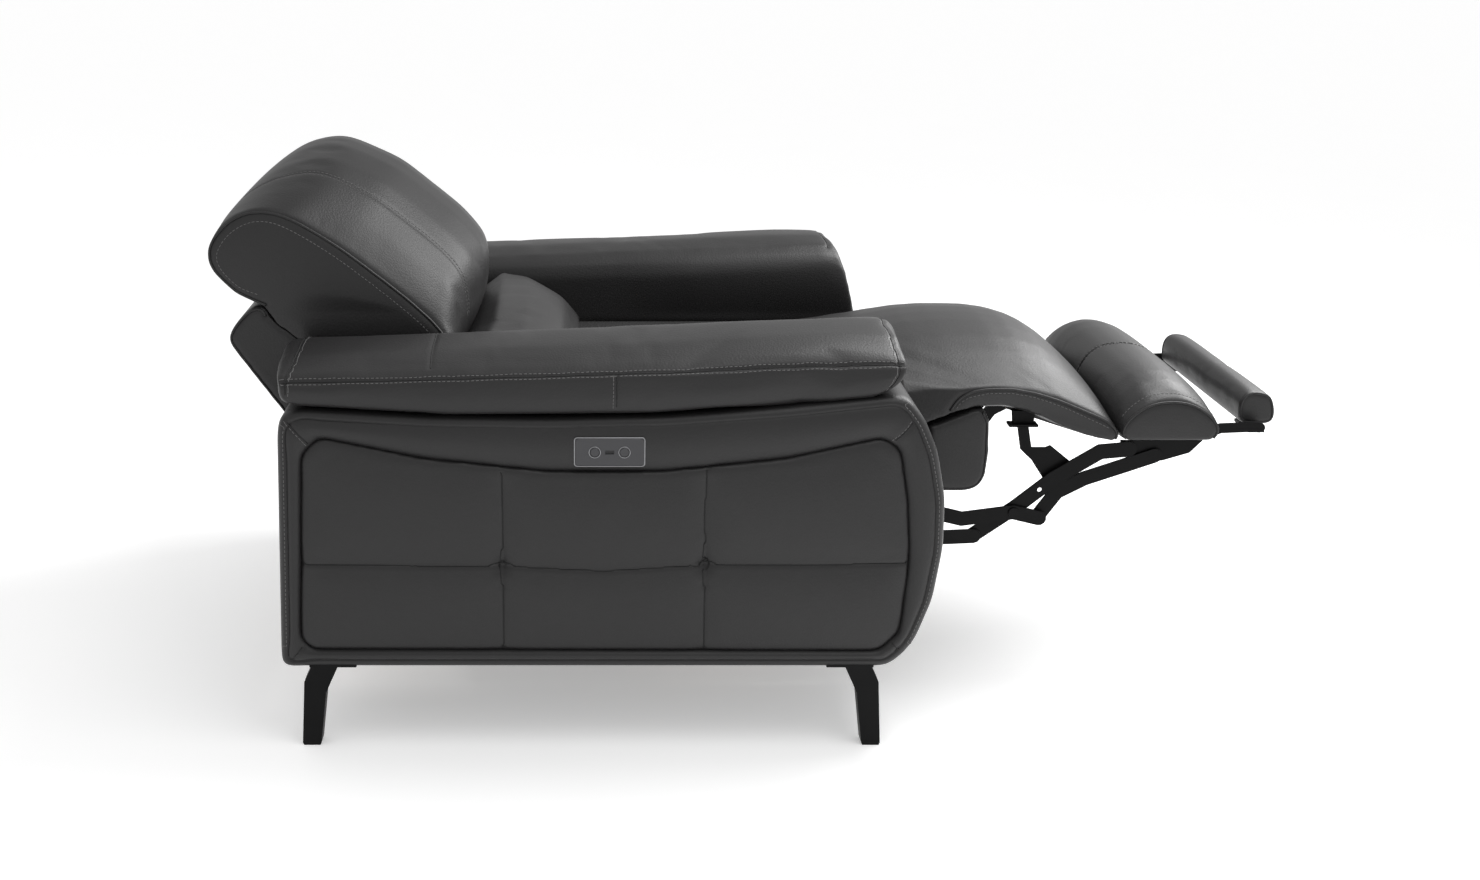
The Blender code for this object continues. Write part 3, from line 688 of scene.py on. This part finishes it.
FLANGE_WEB = ((0.700, 0.4413), (0.734, 0.4413), (0.736, 0.4610), (0.698, 0.4630))


def build_flange_webs():
    """The steel webs on the mid brackets' flanges, under the leg cushion."""
    for side, tag in SIDES:
        faces = sorted((side * 0.2225, side * 0.2285))
        web = skin("flange_web_" + tag, [(face, FLANGE_WEB) for face in faces])
        wear(web, STEEL)
        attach(web, "long_links")


# ---------------------------------------------------------------- back and headrest

BACK_HALF = 0.2700
BACK_OUTLINE = (
    (-0.289, 0.4614, 0, 0), (-0.5005, 0.6232, 0, 0), (-0.5055, 0.6460, 0, 0),
    (-0.527, 0.6520, 0, 0), (-0.552, 0.6620, 0, 0), (-0.586, 0.6960, 0, 0),
    (-0.602, 0.7300, 0.000, 0.004), (-0.580, 0.7720, 0.006, 0.010),
    (-0.543, 0.7985, 0.018, 0.030), (-0.503, 0.8040, 0.030, 0.069), (-0.460, 0.7920, 0.044, 0.103),
    (-0.383, 0.7430, 0.074, 0.105), (-0.291, 0.6700, 0.086, 0.095), (-0.245, 0.6290, 0.087, 0.082),
    (-0.226, 0.6065, 0.070, 0.056), (-0.205, 0.5750, 0.036, 0.028), (-0.216, 0.5400, 0, 0))


def behind_board(points):
    """How far each point lies behind the back board's front face."""
    return (points[:, 1] - (SEAT_LINE + 0.5)) * 0.6088 - (points[:, 2] - 0.63) * 0.7934


def build_back_cover():
    """Back and headrest under one leather cover."""
    piece = cushion("back_cover", BACK_HALF, BACK_OUTLINE, 2.0, 0.94, 14)
    remesh(piece, VOXEL)
    relax(piece, 3)
    iron(piece, 12)
    edge = [(-0.5060, 0.6480), (-0.527, 0.6520), (-0.552, 0.6620), (-0.586, 0.6960),
            (-0.597, 0.7300), (-0.575, 0.7710), (-0.541, 0.7950), (-0.503, 0.8010),
            (-0.460, 0.7890), (-0.383, 0.7420), (-0.291, 0.6690), (-0.245, 0.6280),
            (-0.226, 0.6060), (-0.206, 0.5750), (-0.216, 0.5420)]
    points = coords(piece.data)
    held = behind_board(points) > -0.006
    edges = {}
    for side, tag in SIDES:
        edges[tag] = curve([place(side * BACK_HALF, *spot) for spot in edge])
        held |= distances(points, edges[tag]) < EDGE_REACH
    shrink(piece, 0.002)
    inflate(piece, held, 0.012)
    points = coords(piece.data)
    # Above the arms the cover may grow wider than the space between them.
    wall = 0.2705 + 0.0085 * np.clip((points[:, 2] - 0.640) / 0.060, 0, 1)
    points[:, 0] = np.clip(points[:, 0], -wall, wall)
    set_coords(piece.data, points)
    subdivide(piece)
    seams, pipings, rows = [], [], []
    for side, tag in SIDES:
        inner = [(-0.520, 0.665), (-0.548, 0.674), (-0.574, 0.701), (-0.583, 0.729),
                 (-0.565, 0.760), (-0.536, 0.781), (-0.503, 0.787), (-0.466, 0.776),
                 (-0.391, 0.730), (-0.300, 0.657), (-0.256, 0.617), (-0.240, 0.598)]
        pipings.append(edges[tag])
        seams.append((edges[tag], 0.0020, 0.006))
        rows.append(curve([place(side * 0.285, *spot) for spot in inner]))
        panel = [(-0.55, 0.81), (-0.495, 0.84), (-0.446, 0.85), (-0.398, 0.84), (-0.334, 0.81),
                 (-0.286, 0.775), (-0.237, 0.73), (-0.181, 0.669), (-0.155, 0.61)]
        path = curve([place(side * 0.165, *spot) for spot in panel])
        path, _ = lay_on(surface(piece), resample(path, 0.006))
        path[:, 0] = side * 0.165
        seams.append((path, 0.0012, 0.0050))
        shift = np.array([BESIDE, 0, 0])
        rows.append(path + shift)
        rows.append(path - shift)
    parts = dress(piece, seams, pipings, rows)
    for shown in [piece, *parts]:
        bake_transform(shown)
    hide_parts("back_pad", "headrest_pad")


def build_lumbar():
    piece = copy_of("lumbar_cushion", "lumbar_roll")
    remesh(piece, VOXEL)
    relax(piece, 3)
    iron(piece, 6)
    inflate(piece, behind_board(coords(piece.data)) > -0.010, 0.008)
    subdivide(piece)
    dress(piece, body="back")
    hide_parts("lumbar_cushion")


SHELL_OUTLINE = ((-0.1839, 0.3848), (-0.5015, 0.6286), (-0.5045, 0.6480), (-0.526, 0.6475),
                 (-0.549, 0.6250), (-0.566, 0.6020), (-0.570, 0.5900), (-0.484, 0.4700),
                 (-0.380, 0.3380), (-0.330, 0.3340))


def build_back_shell():
    """The rear of the back: a padded panel whose sides cover the back board's edges."""
    piece = cushion("back_rear", 0.2670, [(f, u, 0, 0) for f, u in SHELL_OUTLINE], 3.0, 1.0)
    remesh(piece, VOXEL)
    relax(piece, 1)
    iron(piece, 6)
    subdivide(piece)
    edge = [(-0.506, 0.630), (-0.510, 0.643), (-0.528, 0.6430), (-0.549, 0.6250),
            (-0.567, 0.6010), (-0.570, 0.5900), (-0.484, 0.4700), (-0.380, 0.3380)]
    pipings = [curve([place(side * 0.2670, *spot) for spot in edge]) for side, _ in SIDES]
    middle = [place(0, -0.574, 0.595), place(0, -0.484, 0.469), place(0, -0.380, 0.337)]
    rows = [[spot + Vector((shift, 0, 0)) for spot in middle] for shift in (-BESIDE, BESIDE)]
    seams = [(path, 0.0015, 0.005) for path in pipings] + [(middle, 0.0015, 0.004)]
    dress(piece, seams, pipings, rows, body="back")
    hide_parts("back_shell")


# ---------------------------------------------------------------- leg rest pads and fascia

def build_fascia():
    piece = copy_of("seat_fascia", "seat_front")
    remesh(piece, FINE_VOXEL)
    relax(piece, 1)
    iron(piece, 6)
    shrink(piece, 0.0025)
    points = coords(piece.data)
    inflate(piece, points[:, 1] > SEAT_LINE - 0.560, 0.002, 2.0)
    subdivide(piece)
    rim = [(0.560, 0.3305), (0.625, 0.3305), (0.645, 0.338), (0.657, 0.357), (0.661, 0.400),
           (0.659, 0.455), (0.650, 0.474)]
    pipings = [curve([place(side * 0.262, *spot) for spot in rim]) for side, _ in SIDES]
    seams = [(path, 0.0015, 0.005) for path in pipings]
    dress(piece, seams, pipings, body="seat")
    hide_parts("seat_fascia")


OTTOMAN_OUTLINE = (
    (0.874, 0.4235, 0, -0.005), (0.866, 0.4320, -0.008, 0), (0.871, 0.4500, -0.008, 0.016),
    (0.887, 0.4680, -0.007, 0.027), (0.907, 0.4820, -0.004, 0.032), (0.930, 0.4880, -0.002, 0.031),
    (0.955, 0.4890, 0, 0.028), (0.980, 0.4840, 0.002, 0.023), (1.003, 0.4715, 0.004, 0.016),
    (1.021, 0.4555, 0.005, 0.009), (1.028, 0.4390, 0.003, 0.002), (1.020, 0.4235, 0, -0.005))


def build_ottoman():
    piece = cushion("ottoman", 0.2660, OTTOMAN_OUTLINE, 6.0, 1.0, 2)
    remesh(piece, FINE_VOXEL)
    relax(piece, 1)
    iron(piece, 6)
    points = coords(piece.data)
    held = points[:, 2] < 0.428
    rim = [(f, u) for f, u, _, _ in OTTOMAN_OUTLINE]
    edges = [curve([place(side * 0.266, *spot) for spot in rim]) for side, _ in SIDES]
    for path in edges:
        held |= distances(points, path) < EDGE_REACH
    inflate(piece, held, 0.008)
    clip_sides(piece, BETWEEN_ARMS)
    subdivide(piece)
    middle = curve([place(0, f + df, u + du + 0.01) for f, u, df, du in OTTOMAN_OUTLINE[1:11]])
    rows = [curve([place(side * 0.250, f, u + 0.012) for f, u in rim[2:10]]) for side, _ in SIDES]
    rows += [[Vector(spot) + Vector((shift, 0, 0)) for spot in middle]
             for shift in (-BESIDE, BESIDE)]
    seams = [(path, 0.0016, 0.005) for path in edges] + [(middle, 0.0030, 0.0035)]
    dress(piece, seams, edges, rows, body="footrest")
    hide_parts("rest_pad")


FOOT_OUTLINE = (
    (1.085, 0.4330, 0, 0), (1.080, 0.4400, 0, 0), (1.080, 0.4690, 0, 0), (1.089, 0.4840, 0, 0.001),
    (1.097, 0.4860, 0, 0.002), (1.120, 0.4835, 0, 0.002), (1.130, 0.4790, 0, 0.001),
    (1.136, 0.4600, 0, 0), (1.137, 0.4410, 0, 0), (1.132, 0.4330, 0, 0))


def build_foot_pad():
    piece = cushion("foot_bolster", 0.2015, FOOT_OUTLINE, 9.0, 1.0, 1)
    remesh(piece, 0.004)
    iron(piece, 2)
    points = coords(piece.data)
    inflate(piece, points[:, 2] < 0.440, 0.002, 2.0)
    subdivide(piece)
    rim = [(1.086, 0.434), (1.081, 0.441), (1.081, 0.468), (1.089, 0.483), (1.098, 0.485),
           (1.120, 0.4825), (1.129, 0.478), (1.135, 0.460), (1.136, 0.441), (1.131, 0.434)]
    edges = [curve([place(side * 0.200, *spot) for spot in rim], True) for side, _ in SIDES]
    seams = [(path, 0.0010, 0.004) for path in edges]
    dress(piece, seams, edges, body="foot_pad", closed=(0, 1))
    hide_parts("foot_pad")


# ---------------------------------------------------------------- arms

ARM_X = 0.499
INSET_RIM = ((-0.416, 0.162), (0.449, 0.160), (0.479, 0.190), (0.489, 0.306), (0.482, 0.401),
             (0.468, 0.480), (0.442, 0.4970), (0.30, 0.4651), (0.12, 0.4450), (-0.06, 0.4450),
             (-0.24, 0.4651), (-0.393, 0.4980), (-0.420, 0.472), (-0.432, 0.180))
INSET_ROUNDS = 8          # smoothing rounds on the rim's corners
TUFTS = ((-0.124, 0.297), (0.182, 0.299))


def inset_seams():
    """The side panel's sewn lines, in the side view."""
    across = [(-0.432, 0.3000), (-0.27, 0.2975), TUFTS[0], (0.03, 0.289), TUFTS[1], (0.34, 0.2985),
              (0.489, 0.302)]
    return [across, [(-0.124, 0.445), (-0.122, 0.38), TUFTS[0]],
            [TUFTS[0], (-0.123, 0.23), (-0.124, 0.162)],
            [(0.182, 0.450), (0.180, 0.38), TUFTS[1]], [TUFTS[1], (0.181, 0.23), (0.182, 0.161)]]


def rounded(outline, rounds, step=0.004):
    """A closed side outline, evenly spaced, with its corners rounded."""
    path = resample([(fwd, 0.0, up) for fwd, up in outline], step, True)
    return smooth_rows(path, rounds, True)[:, [0, 2]]


def inside(outline, amount):
    """The outline moved inwards, as it runs forwards along the bottom."""
    way = directions(np.insert(outline, 1, 0.0, axis=1), True)
    return outline + amount * np.stack([-way[:, 2], way[:, 0]], axis=1)


ARM_EDGE = ((0.464, 0.1295), (0.486, 0.1470), (0.506, 0.173), (0.530, 0.240), (0.542, 0.322),
            (0.541, 0.401), (0.526, 0.476), (0.505, 0.525), (0.480, 0.558), (0.460, 0.5645),
            (0.30, 0.5465), (0.12, 0.5330), (-0.06, 0.5290), (-0.24, 0.5320), (-0.425, 0.5435),
            (-0.452, 0.5310), (-0.457, 0.505), (-0.466, 0.145), (-0.465, 0.1295), (-0.44, 0.1295))
STRIP = 0.0150            # width of the strip outside the arm's rim seam


def build_inset():
    """The tufted panel let into the arm's side, for the left arm."""
    rim = rounded(INSET_RIM, INSET_ROUNDS)
    rings = [(x, inside(rim, amount)) for amount, x in (
        (-0.0025, 0.4790), (-0.0025, 0.4880), (-0.0015, 0.4925), (0.001, 0.4955),
        (0.006, 0.4975), (0.014, 0.4985), (0.030, 0.4990))]
    piece = skin("side_panel_l", rings)
    remesh(piece, FINE_VOXEL)
    iron(piece, 4)
    points = coords(piece.data)
    lines = [[place(ARM_X, *spot) for spot in line] for line in inset_seams()]
    held = points[:, 0] < 0.487
    for path in lines:
        held |= distances(points, path) < 0.004
    held |= distances(points, [place(ARM_X - 0.006, *spot) for spot in rim]) < 0.008
    inflate(piece, held, 0.008, 3.0)
    subdivide(piece)
    seams = [(path, 0.0010, 0.020) for path in lines]
    for tuft in TUFTS:
        spot = place(ARM_X, *tuft)
        up, down = spot + Vector((0, 0, 0.030)), spot - Vector((0, 0, 0.030))
        seams.append(([spot, spot + Vector((0, 0.001, 0))], 0.0060, 0.013))
        seams.append(([up, down], 0.0020, 0.008))
    press(piece, seams)
    return piece


def build_arm_side():
    """The arm's padded cover: a strip round its edge, a rim seam, and a rolled border."""
    edge = rounded(ARM_EDGE, 14)
    rim = rounded(INSET_RIM, INSET_ROUNDS)
    gaps = np.linalg.norm(edge[:, None] - rim[None], axis=2)
    near = smooth_rows(rim[gaps.argmin(axis=1)], 6, True)
    way = (near - edge) / np.linalg.norm(near - edge, axis=1)[:, None]
    rings = [(x, edge + way * amount) for amount, x in (
        (0, 0.2745), (0, 0.300), (0, 0.400), (0, 0.470), (0, 0.4810), (0.0015, 0.4865),
        (0.004, 0.4915), (0.008, 0.4948), (0.0115, 0.4962), (0.0135, 0.4958), (STRIP, 0.4938))]
    start = edge + way * STRIP
    for share in (0.02, 0.05, 0.1, 0.16, 0.23, 0.31, 0.4, 0.5, 0.6, 0.69, 0.77, 0.84, 0.9, 0.94,
                  0.97, 1.0):
        x = 0.4938 - 0.0050 * share ** 4 + 0.0072 * sin(pi * share) ** 0.6
        rings.append((x, start + (near - start) * share))
    rings.append((0.4780, near))
    return skin("arm_side_l", rings)


def dress_arm_side(piece, side, tag):
    mitres = [[(-0.430, 0.166), (-0.448, 0.144)], [(0.467, 0.174), (0.480, 0.160)],
              [(-0.408, 0.488), (-0.440, 0.524)], [(0.460, 0.494), (0.486, 0.523)]]
    mitres = [[place(side * ARM_X, *a), place(side * ARM_X, *b)] for a, b in mitres]
    seams = [(path, 0.0014, 0.004) for path in mitres]
    edge = rounded(ARM_EDGE, 14)
    edge = edge[edge[:, 1] > 0.16]
    front = inside(edge[edge[:, 0] > 0.47], 0.0100)
    rear = inside(edge[edge[:, 0] < -0.452], 0.0100)
    rows = [[place(side * 0.497, *spot) for spot in path] for path in (front, rear)]
    rows += [[spot + Vector((0, BESIDE, 0)) for spot in mitre] for mitre in mitres[2:]]
    dress(piece, seams, rows=rows, body="base")
    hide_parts("arm_shell_" + tag)


PAD_SEAM = ((-0.452, 0.590), (-0.242, 0.593), (0.039, 0.601), (0.256, 0.610), (0.474, 0.620))


def build_arm_pad():
    """The overstuffed pad on the left arm."""
    piece = copy_of("arm_pad_l", "arm_top_l")
    remesh(piece, VOXEL)
    relax(piece, 2)
    iron(piece, 6)
    points = coords(piece.data)
    fwd = SEAT_LINE - points[:, 1]
    # The front end leans back towards its foot on the outside and bulges forward on the inside.
    # The rear end's top overhangs a little.
    low = np.clip((0.605 - points[:, 2]) / 0.040, 0, 1)
    outside = np.clip((points[:, 0] - 0.34) / 0.08, 0, 1)
    front = np.clip((fwd - 0.430) / 0.048, 0, 1)
    points[:, 1] += front * outside * low ** 2 * 0.036
    drape = np.clip((0.645 - points[:, 2]) / 0.05, 0, 1)
    points[:, 1] -= front * (1 - outside) * drape * 0.014
    rear = np.clip((-0.405 - fwd) / 0.035, 0, 1)
    points[:, 1] += rear * np.clip((points[:, 2] - 0.580) / 0.025, 0, 1) * 0.012
    set_coords(piece.data, points)
    outer = curve([place(0.503, *spot) for spot in PAD_SEAM])
    held = distances(points, outer) < 0.005
    held |= (points[:, 2] < 0.545) | (points[:, 0] < 0.290)        # the foot and the inner side
    shrink(piece, 0.001)
    inflate(piece, held, 0.010)
    points = coords(piece.data)
    # The inner side stays off the seat, and bulges a little where it is free of the back.
    points[:, 0] = np.maximum(points[:, 0], 0.2705)
    free = np.clip((SEAT_LINE - points[:, 1] - 0.06) / 0.14, 0, 1)
    free *= np.sin(pi * np.clip((points[:, 2] - 0.510) / 0.125, 0, 1))
    points[:, 0] -= 0.008 * free * np.clip((0.34 - points[:, 0]) / 0.06, 0, 1)
    set_coords(piece.data, points)
    subdivide(piece)
    return piece


def dress_arm_pad(piece, side, tag):
    tree = surface(piece)
    outer = curve([place(side * 0.503, *spot) for spot in PAD_SEAM])
    top = [place(side * x, -0.229, 0.65) for x in (0.29, 0.36, 0.43, 0.50)]
    low = [place(side * 0.51, 0.047, up) for up in (0.598, 0.57, 0.545)]
    ends = []
    for fwd, lean in ((-0.444, 0.0), (0.469, -0.012)):
        ends.append([place(side * x, fwd + move, up) for x, up, move in (
            (0.28, 0.66, 0), (0.36, 0.67, 0), (0.44, 0.67, 0), (0.50, 0.64, 0),
            (0.515, 0.60, 0), (0.51, 0.565, lean))])
    laid = [lay_on(tree, resample(path, PATH_STEP))[0] for path in (outer, top, low, *ends)]
    seams = [(path, depth, 0.0035) for path, depth in zip(laid, (0.002, 0.0015, 0.0015, 0.002,
                                                                0.002))]
    shift = Vector((0, 0, 0.0045))
    rows = [[Vector(spot) + shift for spot in outer], [Vector(spot) - shift for spot in outer]]
    rows.append([spot + Vector((0, BESIDE, 0)) for spot in low])
    for path, move in zip(ends, (-0.005, 0.005)):
        rows.append([spot + Vector((0, move, 0)) for spot in path])
    dress(piece, seams, rows=rows, body="base")
    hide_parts("arm_pad_" + tag)


def build_arms():
    left = (build_inset(), build_arm_side(), build_arm_pad())
    right = [mirror_of(piece, piece.name[:-1] + "r") for piece in left]
    for side, tag, (inset, cover, pad) in ((1, "l", left), (-1, "r", right)):
        lines = [[place(side * ARM_X, *spot) for spot in line] for line in inset_seams()]
        dress(inset, [(path, 0.0018, 0.0030) for path in lines], body="base")
        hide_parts("side_inset_" + tag)
        dress_arm_side(cover, side, tag)
        dress_arm_pad(pad, side, tag)


def build_rear_panel():
    piece = copy_of("rear_panel", "rear_cover")
    remesh(piece, VOXEL)
    relax(piece, 3)
    subdivide(piece)
    dress(piece, body="base")
    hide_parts("rear_panel")


# ---------------------------------------------------------------- controls

RING_POINTS = 48
RING_R = 0.0007
RIM_R = 0.0010
RIM_CORNER = 0.0040


def build_control_trim():
    """Bright rings round the two push buttons, and a bright rim round the plate."""
    for name in ("button_open", "button_close"):
        low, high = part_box(name)
        middle = (low + high) / 2
        radius = (high.z - low.z) / 2 + 0.0012
        turns = [2 * pi * i / RING_POINTS for i in range(RING_POINTS)]
        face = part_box("control_plate")[0].x
        ring = np.array([(face, middle.y + radius * cos(t), middle.z + radius * sin(t))
                         for t in turns])
        ups = np.tile([-1.0, 0.0, 0.0], (RING_POINTS, 1))
        trim = tube(name + "_ring", ring, ups, RING_R, True)
        wear(trim, BRIGHT)
        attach(trim, "base")
    low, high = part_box("control_plate")
    spots = []
    for y, z, start in ((high.y, high.z, 0), (low.y, high.z, 90), (low.y, low.z, 180),
                        (high.y, low.z, 270)):
        centre_y = y - RIM_CORNER if y == high.y else y + RIM_CORNER
        centre_z = z - RIM_CORNER if z == high.z else z + RIM_CORNER
        for step in range(7):
            turn = radians(start + 15 * step)
            spots.append((low.x + 0.0022, centre_y + RIM_CORNER * cos(turn),
                          centre_z + RIM_CORNER * sin(turn)))
    ups = np.tile([-1.0, 0.0, 0.0], (len(spots), 1))
    rim = tube("control_rim", np.array(spots), ups, RIM_R, True)
    wear(rim, BRIGHT)
    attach(rim, "base")


# ---------------------------------------------------------------- room

def area_light(name, spot, target, size, power):
    light = bpy.data.lights.new(name, "AREA")
    light.shape = "RECTANGLE"
    light.size, light.size_y = size
    light.energy = power
    made = link(name, light)
    made.location = spot
    made.rotation_euler = (Vector(target) - Vector(spot)).to_track_quat("-Z", "Y").to_euler()
    made.visible_camera = False


FLOOR_REACH = 40.0
FLOOR_GLOW = 0.32         # keeps the pale floor even under the soft lights
SKY = 0.72


def build_room():
    """A wide pale floor, an even sky and three soft lights."""
    material, tree, shader = new_material("floor", (0.92, 0.92, 0.92), 0.7)
    where = add_node(tree, "ShaderNodeTexCoord").outputs["Object"]
    tree.links.new(tint(tree, noise(tree, where, 3.0), (0.91, 0.91, 0.91), (0.93, 0.93, 0.93)),
                   shader.inputs["Base Color"])
    corners = [(x * FLOOR_REACH, y * FLOOR_REACH, 0) for x, y in ((-1, -1), (1, -1), (1, 1), (-1, 1))]
    floor = mesh_object("floor", corners, [(0, 1, 2, 3)])
    shader.inputs["Emission Color"].default_value = (1, 1, 1, 1)
    shader.inputs["Emission Strength"].default_value = FLOOR_GLOW
    wear(floor, material)
    world = bpy.data.worlds.new("studio")
    bpy.context.scene.world = world
    world.use_nodes = True
    sky = world.node_tree.nodes["Background"]
    sky.inputs["Color"].default_value = (1, 1, 1, 1)
    sky.inputs["Strength"].default_value = SKY
    middle = (0.0, 0.0, 0.5)
    area_light("far_front", (1.1, -1.9, 1.8), middle, (1.2, 1.0), 42)
    area_light("overhead", (0.2, -0.9, 2.3), middle, (1.1, 0.8), 30)
    area_light("near_overhead", (-1.0, -0.5, 2.2), middle, (1.6, 1.0), 10)


CAMERA_TILT = 14.48       # degrees below level


def build_camera():
    """Looks along +X from beside the right arm."""
    data = bpy.data.cameras.new("camera")
    data.sensor_width = 36.0
    data.lens = 42.57
    data.shift_x = 0.105
    data.shift_y = -0.0582
    camera = link("camera", data)
    camera.location = (-2.971, SEAT_LINE, 1.267)
    camera.rotation_euler = (radians(90 - CAMERA_TILT), 0.0, radians(-90))
    bpy.context.scene.camera = camera


bpy.context.scene.view_settings.view_transform = "Standard"
build_camera()
build_room()
finish_cad_nodes()
build_seat_cover()
build_flange_webs()
build_back_cover()
build_lumbar()
build_back_shell()
build_fascia()
build_ottoman()
build_foot_pad()
build_arms()
build_rear_panel()
build_control_trim()
